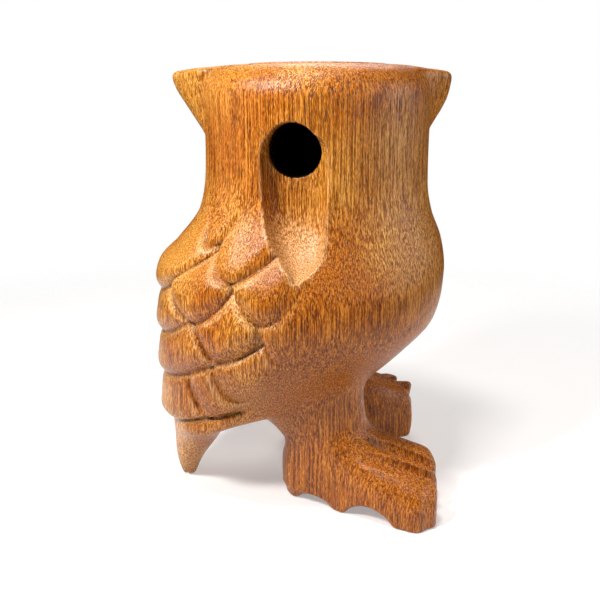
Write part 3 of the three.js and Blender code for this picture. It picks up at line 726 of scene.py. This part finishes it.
def oiled_hardwood(name, cut_from=(0, 0, 0)):
    """An open-pored honey-brown hardwood, carved, sanded and oiled. Its pores are fine tubes that run up
    the block, so they show as dark dashes on its sides and as dots where a cut crosses the grain. The
    block is cut from the place that is given in the tree, in millimetres."""
    material = bpy.data.materials.new(name)
    material.use_nodes = True
    material.node_tree.nodes.clear()
    place = add_node(material, "TexCoord", {}).outputs["Object"]
    place = add_node(material, "VectorMath", {0: place, 1: Vector(cut_from) * MM}, operation="ADD").outputs[0]

    def along_grain(across_mm, along_mm):
        """The place, counted in steps of one width across the grain and one length along it."""
        scale = (1 / (across_mm * MM), 1 / (across_mm * MM), 1 / (along_mm * MM))
        return add_node(material, "Mapping", {"Vector": place, "Scale": scale}).outputs["Vector"]

    def grain(across_mm, along_mm):
        """Soft noise, drawn out along the grain."""
        inputs = {"Vector": along_grain(across_mm, along_mm), "Scale": 1.0, "Detail": 2.0}
        return add_node(material, "TexNoise", inputs).outputs["Fac"]

    def dashes(across_mm, along_mm, thinnest, widest, rarest, commonest):
        """Short dashes along the grain, at most one to a cell of the given width and length. Each is full
        up to the thinnest distance from its middle and gone at the widest, and a cell has none if its
        chance is under the rarest, and a full one if it is over the commonest."""
        cells = add_node(material, "TexVoronoi", {"Vector": along_grain(across_mm, along_mm), "Scale": 1.0})
        edge = {"Value": cells.outputs["Distance"], "From Min": thinnest, "From Max": widest}
        dash = add_node(material, "MapRange", {**edge, "To Min": 1.0, "To Max": 0.0}).outputs[0]
        chance = add_node(material, "SeparateColor", {"Color": cells.outputs["Color"]}).outputs["Red"]
        inputs = {"Value": chance, "From Min": rarest, "From Max": commonest}
        kept = add_node(material, "MapRange", inputs).outputs[0]
        return add_node(material, "Math", {0: dash, 1: kept}, operation="MULTIPLY").outputs[0]

    def laid_over(wood, where, strength, colour):
        """The wood with another colour laid over it, as strongly as it is told."""
        share = add_node(material, "Math", {0: where, 1: strength}, operation="MULTIPLY").outputs[0]
        inputs = {"Factor": share, "A": wood, "B": colour}
        return add_node(material, "Mix", inputs, data_type="RGBA").outputs["Result"]

    # Golden and ruddy heartwood, ruddier and darker lower down and towards +X. The darkening lower down is
    # partly painted shade, where less light reaches the lower body and legs.
    streaks = grain(0.24, 26)
    fibres = grain(0.1, 1)
    figure = add_node(material, "Math", {0: streaks, 1: 0.6}, operation="MULTIPLY").outputs[0]
    figure = add_node(material, "Math", {0: fibres, 1: 0.4, 2: figure}, operation="MULTIPLY_ADD").outputs[0]
    golden = ramp(material, figure, (0.41, "#8a4a0a"), (0.5, "#c67c1c"), (0.59, "#f0b45c"))
    ruddy = ramp(material, figure, (0.41, "#662d05"), (0.5, "#a5560c"), (0.59, "#d38128"))
    tone = grain(22, 40)
    across, _, up = add_node(material, "SeparateXYZ", {0: place}).outputs
    # Ruddier, darker tone lower down, partly painted shade, and towards +X.
    for way, begin_mm, end_mm, most in ((up, 78, 48, 0.1), (across, -24, 10, 0.12)):
        inputs = {"Value": way, "From Min": begin_mm * MM, "From Max": end_mm * MM, "To Max": most}
        ruddier = add_node(material, "MapRange", inputs).outputs[0]
        tone = add_node(material, "Math", {0: tone, 1: ruddier}, operation="ADD").outputs[0]
    tone = add_node(material, "MapRange", {"Value": tone, "From Min": 0.48, "From Max": 0.7}).outputs[0]
    wood = laid_over(golden, tone, 1, ruddy)

    # Pale flecks, and dark pores in two sizes
    wood = laid_over(wood, dashes(0.24, 1.2, 0.2, 0.4, 0.4, 0.9), 0.4, linear("#eeab52"))
    pores = dashes(0.32, 5, 0.18, 0.34, 0.25, 0.6)
    fine_pores = dashes(0.18, 1.1, 0.25, 0.45, 0.3, 0.7)
    fine_pores = add_node(material, "Math", {0: fine_pores, 1: 0.6}, operation="MULTIPLY").outputs[0]
    pore = add_node(material, "Math", {0: pores, 1: fine_pores}, operation="MAXIMUM").outputs[0]
    wood = laid_over(wood, pore, 0.85, linear("#4f220a"))

    # Marks that each point of the mesh carries: painted highlights along the feathers' bevels and in the
    # scoop, painted shade in the recesses, and near-black painted shade in the bore
    highlight_wood = ramp(material, figure, (0.42, "#b9752a"), (0.5, "#eab76c"), (0.58, "#fbe6bc"))
    for mark, colour in (("painted_highlight", highlight_wood), ("recess_shade", linear("#3c1a08")), ("bore_shade", linear("#0a0604"))):
        marked = add_node(material, "Attribute", {}, attribute_name=mark).outputs["Fac"]
        wood = laid_over(wood, marked, 1, colour)

    relief = add_node(material, "Math", {0: figure, 1: grain(0.22, 0.5)}, operation="ADD").outputs[0]
    relief = add_node(material, "Math", {0: relief, 1: pore}, operation="SUBTRACT").outputs[0]
    inputs = {"Height": relief, "Strength": 0.9, "Distance": 0.09 * MM}
    bump = add_node(material, "Bump", inputs).outputs["Normal"]
    gloss = add_node(material, "MapRange", {"Value": fibres, "To Min": 0.15, "To Max": 0.35}).outputs[0]
    inputs = {"Base Color": wood, "Roughness": gloss, "Normal": bump, "IOR": 1.4}
    shader = add_node(material, "BsdfPrincipled", inputs)
    add_node(material, "OutputMaterial", {"Surface": shader.outputs["BSDF"]})
    return material


CELL = 0.9
carving_wood = oiled_hardwood("oiled hardwood, carved")
owl_points, owl_quads = carved_skin(owl_field, owl_low, owl_high, CELL)
owl_points = onto_surface(owl_field, owl_points, 3, 0.4)
owl_faces = halves(owl_points, owl_quads)
for turn_degrees, shortest in ((14, 0.5), (18, 0.3)):
    owl_points, owl_faces = refined(owl_field, owl_points, owl_faces, math.radians(turn_degrees), shortest)
carved_owl = mesh_piece("carved_owl", owl_points, owl_faces, carving_wood)

# Painted shade in the recesses, where less light reaches: a point counts as hollow if the field a little
# outside it is less deep than on an open surface.
RECESS_REACH = 1.6
RECESS_SHADE = 0.5
RECESS_OPENNESS = (0.85, 0.2)  # where the darkening begins and where it is full
_, owl_slope = slope_of(owl_field, owl_points)
owl_facing = owl_slope / np.linalg.norm(owl_slope, axis=1, keepdims=True)
openness = owl_field(owl_points + RECESS_REACH * owl_facing) / RECESS_REACH
recess_shade = carved_owl.data.attributes.new("recess_shade", "FLOAT", "POINT")
recess_shade.data.foreach_set("value", (RECESS_SHADE * smooth_step(*RECESS_OPENNESS, openness)).astype(np.float32))

# Painted highlights: a pale line along the feathers' lit bevels, and on the scoop's rim and its upward-facing
# lower end, where the light catches them.
EDGE_HIGHLIGHT = 0.35
RIM_HIGHLIGHT = 0.35
RIM_HIGHLIGHT_REACH = (0.3, 0.5)  # from the scoop's surface and from the head's skin
BOWL_HIGHLIGHT = 0.4
BOWL_SURFACE = (1, 0.3)  # distances from the scoop's surface over which a point comes to count as on it
BOWL_HIGHLIGHT_HEIGHTS = (66, 54)  # heights between which the scoop's painted highlight comes in, downwards
owl_height = owl_points[:, 2]
owl_ahead, owl_left = turned(*(owl_points[:, :2] - BODY_AXIS).T, BODY_TURN)
_, _, owl_degrees, owl_radius = torso_section(owl_ahead, owl_left, owl_height)
edge_highlights = feather_relief(owl_degrees, owl_height, owl_radius)[1]
owl_depth = smooth_torso(owl_ahead, owl_left, owl_height)
off_scoop = scoop(owl_points[:, 0] - HEAD_AXIS[0], owl_depth, owl_height)
on_scoop_side = owl_points[:, 1] < HEAD_AXIS[1]
off_lip = (off_scoop / RIM_HIGHLIGHT_REACH[0]) ** 2 + (owl_depth / RIM_HIGHLIGHT_REACH[1]) ** 2
rim_highlight = np.exp(-off_lip) * on_scoop_side
in_bowl = smooth_step(*BOWL_SURFACE, np.abs(off_scoop)) * on_scoop_side
bowl_highlight = in_bowl * smooth_step(*BOWL_HIGHLIGHT_HEIGHTS, owl_height)
highlight_share = np.max([EDGE_HIGHLIGHT * edge_highlights, RIM_HIGHLIGHT * rim_highlight, BOWL_HIGHLIGHT * bowl_highlight], axis=0)
painted_highlight = carved_owl.data.attributes.new("painted_highlight", "FLOAT", "POINT")
painted_highlight.data.foreach_set("value", highlight_share.astype(np.float32))

# Painted shade in the bore and the chamber: they turn nearly black with depth under the head's skin, standing
# in for the shade deep in the hole.
BORE_SHADE_DEPTHS = (3, 4.6)  # how far under the head's skin it turns dark
BORE_SLACK = 0.2  # how far off the blow hole's wall a point may lie and still be taken as on it
CHAMBER_SLACK = 1
depth = HEAD_RADIUS - np.hypot(*(owl_points[:, :2] - HEAD_AXIS).T)
off_bore = np.hypot(owl_points[:, 0] - HEAD_AXIS[0] - BLOW_HOLE_SHIFT, owl_height - BLOW_HOLE)
in_bore = off_bore < BLOW_HOLE_RADIUS + BORE_SLACK
in_bore |= depth > HEAD_RADIUS - CHAMBER_RADIUS - CHAMBER_SLACK
in_bore &= (owl_height > CHAMBER_FLOOR - CHAMBER_SLACK) & (owl_height < TOP - CHAMBER_SLACK)
in_bore &= owl_points[:, 1] < HEAD_AXIS[1] + CHAMBER_RADIUS + CHAMBER_SLACK
bore_shade = carved_owl.data.attributes.new("bore_shade", "FLOAT", "POINT")
bore_shade.data.foreach_set("value", (in_bore * smooth_step(*BORE_SHADE_DEPTHS, depth)).astype(np.float32))

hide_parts("owl_body")
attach(carved_owl, "root")


# The plug in the top of the head, and the two eyes.
# All are turned on a lathe: the plug of the same hardwood, end grain up, the eyes of a pale close-grained
# wood and the pupils of dark stained pegs. Each is glued into its seat and sanded.

LATHE_SIDES = 96


def turned_skin(profile):
    """Points and triangles of a (radius, height) profile, from axis to axis, turned round the height."""
    radius, height = np.array(profile, float).T
    angle = 2 * np.pi * np.arange(LATHE_SIDES) / LATHE_SIDES
    rings = [radius[:, None] * np.cos(angle), radius[:, None] * np.sin(angle), height[:, None] + 0 * angle]
    number = np.arange(radius.size * LATHE_SIDES).reshape(radius.size, LATHE_SIDES)
    number[0], number[-1] = number[0, 0], number[-1, 0]
    low, high = number[:-1], number[1:]
    quads = np.stack([low, np.roll(low, -1, 1), np.roll(high, -1, 1), high], -1).reshape(-1, 4)
    triangles = np.concatenate([quads[:, [0, 1, 2]], quads[:, [0, 2, 3]]])
    triangles = triangles[(triangles != np.roll(triangles, 1, axis=1)).all(1)]
    used, triangles = np.unique(triangles, return_inverse=True)
    return np.stack(rings, -1).reshape(-1, 3)[used], triangles.reshape(-1, 3)


def arc(centre_radius, centre_height, radius, start, end, steps):
    """Profile points on a quarter or less of a circle, between two angles in degrees."""
    angle = np.radians(np.linspace(start, end, steps))
    return list(zip(centre_radius + radius * np.cos(angle), centre_height + radius * np.sin(angle)))


PLUG_JOINT = 0.06  # the hairline between the plug and its seat
PLUG_EDGE = 0.18
PLUG_FOOT_BEVEL = 0.3
plug_radius = CHAMBER_RADIUS + PLUG_SHOULDER - PLUG_JOINT
plug_top = [(r, TOP - TOP_DOME * (r / HEAD_RADIUS) ** 2) for r in np.linspace(plug_radius - PLUG_EDGE, 0, 12)]
plug_rim = arc(plug_radius - PLUG_EDGE, plug_top[0][1] - PLUG_EDGE, PLUG_EDGE, 0, 80, 4)
plug_foot = [
    (0, plug_low[2]),
    (plug_radius - PLUG_FOOT_BEVEL, plug_low[2]),
    (plug_radius, plug_low[2] + PLUG_FOOT_BEVEL),
]
plug_points, plug_faces = turned_skin([*plug_foot, *plug_rim, *plug_top])
plug_points[:, :2] += HEAD_AXIS
plug_wood = oiled_hardwood("oiled hardwood, end grain", cut_from=(70, 45, 0))
plug = mesh_piece("head_plug", plug_points, plug_faces, plug_wood)
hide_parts("chamber_plug")
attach(plug, "root")

EYE_DOME = 1.2
EYE_EDGE = 0.4
EYE_EDGE_DROP = 0.3
EYE_JOINT = 0.08
PUPIL_RADIUS = 3.1
PUPIL_SEAT = 1.4
PUPIL_DOME = 1
PUPIL_DROP = 0.3  # how much lower than the eye's highest point its dome begins
PUPIL_HOLE_BEVEL = (0.1, 0.15)  # its width and its depth
STREAK_WIDTH = 0.5
STREAK_LENGTH = 9


def polished_wood(name, dark, light, roughness):
    """A close-grained wood with faint streaks between two colours, polished."""
    material = bpy.data.materials.new(name)
    material.use_nodes = True
    material.node_tree.nodes.clear()
    place = add_node(material, "TexCoord", {}).outputs["Object"]
    scale = (1 / (STREAK_WIDTH * MM), 1 / (STREAK_WIDTH * MM), 1 / (STREAK_LENGTH * MM))
    stretched = add_node(material, "Mapping", {"Vector": place, "Scale": scale}).outputs["Vector"]
    inputs = {"Vector": stretched, "Scale": 1.0, "Detail": 4.0}
    streaks = add_node(material, "TexNoise", inputs).outputs["Fac"]
    colour = ramp(material, streaks, (0.35, dark), (0.65, light))
    inputs = {"Height": streaks, "Strength": 0.3, "Distance": 0.04 * MM}
    bump = add_node(material, "Bump", inputs).outputs["Normal"]
    inputs = {"Base Color": colour, "Roughness": roughness, "Normal": bump, "IOR": 1.5}
    shader = add_node(material, "BsdfPrincipled", inputs)
    add_node(material, "OutputMaterial", {"Surface": shader.outputs["BSDF"]})
    return material


def eye_dome(radius):
    """How high the eye's face stands over its back, at a distance from its middle."""
    return EYE_THICKNESS + EYE_DOME * (1 - (radius / EYE_RADIUS) ** 2)


pale_wood = polished_wood("pale close-grained wood, oiled", "#cfa869", "#ecd3a0", 0.38)
dark_wood = polished_wood("dark stained wood, polished", "#160c07", "#33200f", 0.25)
eye_radius = EYE_RADIUS + EYE_GAP - EYE_JOINT
pupil_hole = PUPIL_RADIUS + EYE_JOINT
face_rings = np.linspace(eye_radius - EYE_EDGE, pupil_hole + PUPIL_HOLE_BEVEL[0], 10)
eye_profile = [
    (0, 0),
    (eye_radius, 0),
    *arc(eye_radius - EYE_EDGE, eye_dome(eye_radius) - EYE_EDGE_DROP, EYE_EDGE, 0, 60, 4),
    *zip(face_rings, eye_dome(face_rings)),
    (pupil_hole, eye_dome(pupil_hole) - PUPIL_HOLE_BEVEL[1]),
    (pupil_hole, PUPIL_SEAT),
    (0, PUPIL_SEAT),
]
pupil_top = EYE_THICKNESS + EYE_DOME - PUPIL_DROP
pupil_dome = [
    (PUPIL_RADIUS * math.cos(angle), pupil_top + PUPIL_DOME * math.sin(angle))
    for angle in np.linspace(0, math.pi / 2, 9)
]
pupil_profile = [(0, PUPIL_SEAT + EYE_GAP), (PUPIL_RADIUS, PUPIL_SEAT + EYE_GAP), *pupil_dome]
for side, name in ((-1, "left"), (1, "right")):
    facing = np.array([side * math.sin(EYE_SPREAD), math.cos(EYE_SPREAD), 0])
    sideways = np.array([-math.cos(EYE_SPREAD), side * math.sin(EYE_SPREAD), 0])
    axes = np.stack([sideways, (0, 0, 1), facing])
    seat = np.array([*HEAD_AXIS, EYE_HEIGHT]) + facing * (HEAD_RADIUS - EYE_THICKNESS)
    for part, profile, wood, slot in (
        ("iris", eye_profile, pale_wood, "pale_wood"),
        ("pupil", pupil_profile, dark_wood, "dark_wood"),
    ):
        part_points, part_faces = turned_skin(profile)
        piece = mesh_piece(f"{name}_{part}_turned", part_points @ axes + seat, part_faces, wood)
        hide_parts(f"{name}_{part}")
        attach(piece, "root")


# The floor and backdrop: a sheet of white paper under soft lamps, which keeps the owl's shadow.
# It fades into the room's plain white between two distances from the middle.
FLOOR_CLEAR = 80
FLOOR_GONE = 260
FLOOR_HALF = 280
FLOOR_GLOW = 0.34  # what the camera sees beyond the lamps' light, which brings the paper to white
ROOM_LIGHT = 0.03


def studio_white():
    """White paper that the camera sees lit to white, and darker only where the owl shades it."""
    material = bpy.data.materials.new("white paper sweep")
    material.use_nodes = True
    material.node_tree.nodes.clear()
    rays = add_node(material, "LightPath", {})
    inputs = {0: rays.outputs["Is Camera Ray"], 1: rays.outputs["Is Glossy Ray"]}
    seen = add_node(material, "Math", inputs, operation="MAXIMUM").outputs[0]
    glow = add_node(material, "Math", {0: seen, 1: FLOOR_GLOW}, operation="MULTIPLY").outputs[0]
    lit = add_node(material, "Emission", {"Color": (1, 1, 1, 1), "Strength": glow})
    paper = add_node(material, "BsdfDiffuse", {"Color": linear("#dedad8")})
    both = add_node(material, "AddShader", {0: lit.outputs[0], 1: paper.outputs[0]})
    place = add_node(material, "TexCoord", {}).outputs["Object"]
    far = add_node(material, "VectorMath", {0: place}, operation="LENGTH").outputs["Value"]
    inputs = {"Value": far, "From Min": FLOOR_CLEAR * MM, "From Max": FLOOR_GONE * MM}
    fade = add_node(material, "MapRange", inputs, interpolation_type="SMOOTHSTEP").outputs[0]
    clear = add_node(material, "BsdfTransparent", {})
    sweep = add_node(material, "MixShader", {0: fade, 1: both.outputs[0], 2: clear.outputs[0]})
    add_node(material, "OutputMaterial", {"Surface": sweep.outputs[0]})
    return material


floor_points = np.array([(-1, -1, 0), (1, -1, 0), (1, 1, 0), (-1, 1, 0)], float) * FLOOR_HALF
floor = mesh_piece("floor", floor_points, np.array([[0, 1, 2, 3]]), studio_white())

world = bpy.data.worlds.new("white room")
bpy.context.scene.world = world
world.use_nodes = True
world.node_tree.nodes.clear()
seen_directly = add_node(world, "LightPath", {}).outputs["Is Camera Ray"]
room = add_node(world, "Background", {"Color": (1, 1, 1, 1), "Strength": ROOM_LIGHT})
white = add_node(world, "Background", {"Color": (1, 1, 1, 1), "Strength": 1.0})
sky = add_node(world, "MixShader", {0: seen_directly, 1: room.outputs[0], 2: white.outputs[0]})
add_node(world, "OutputWorld", {"Surface": sky.outputs[0]})


def soft_lamp(name, place, aim, size, power):
    """A square area lamp at a place in millimetres, turned to face its aim."""
    lamp = bpy.data.lights.new(name, "AREA")
    lamp.size = size * MM
    lamp.energy = power
    lamp_object = bpy.data.objects.new(name, lamp)
    lamp_object.location = Vector(place) * MM
    lamp_object.rotation_euler = (Vector(aim) - Vector(place)).to_track_quat("-Z", "Y").to_euler()
    bpy.context.collection.objects.link(lamp_object)


soft_lamp("key", (-85, -119, 172), (0, -10, 60), 38, 0.44)
soft_lamp("top", (-15, -80, 290), (0, -10, 50), 45, 0.42)
soft_lamp("left", (-380, -60, 130), (0, 0, 45), 240, 0.15)
soft_lamp("right", (300, -150, 160), (0, 0, 45), 260, 0.18)
soft_lamp("rim", (400, 60, 150), (0, 0, 45), 240, 0.65)
soft_lamp("back", (-20, 300, 360), (0, 0, 0), 220, 0.75)

# The camera stands a hand's length off, level with the head, and is tilted down.
CAMERA_PLACE = (BODY_AXIS[0] + 30.8, BODY_AXIS[1] - 162.6, 84.6)
CAMERA_SIDE = math.radians(11)
CAMERA_TILT = math.radians(15)
FOCAL_SHARE = 764 / 600  # focal length as a share of the picture's width
lens = bpy.data.cameras.new("camera")
lens.lens = lens.sensor_width * FOCAL_SHARE
lens.clip_start = 0.01
camera = bpy.data.objects.new("camera", lens)
camera.location = Vector(CAMERA_PLACE) * MM
camera.rotation_euler = (math.radians(90) - CAMERA_TILT, 0, CAMERA_SIDE)
bpy.context.collection.objects.link(camera)
bpy.context.scene.camera = camera
bpy.context.scene.view_settings.view_transform = "Standard"
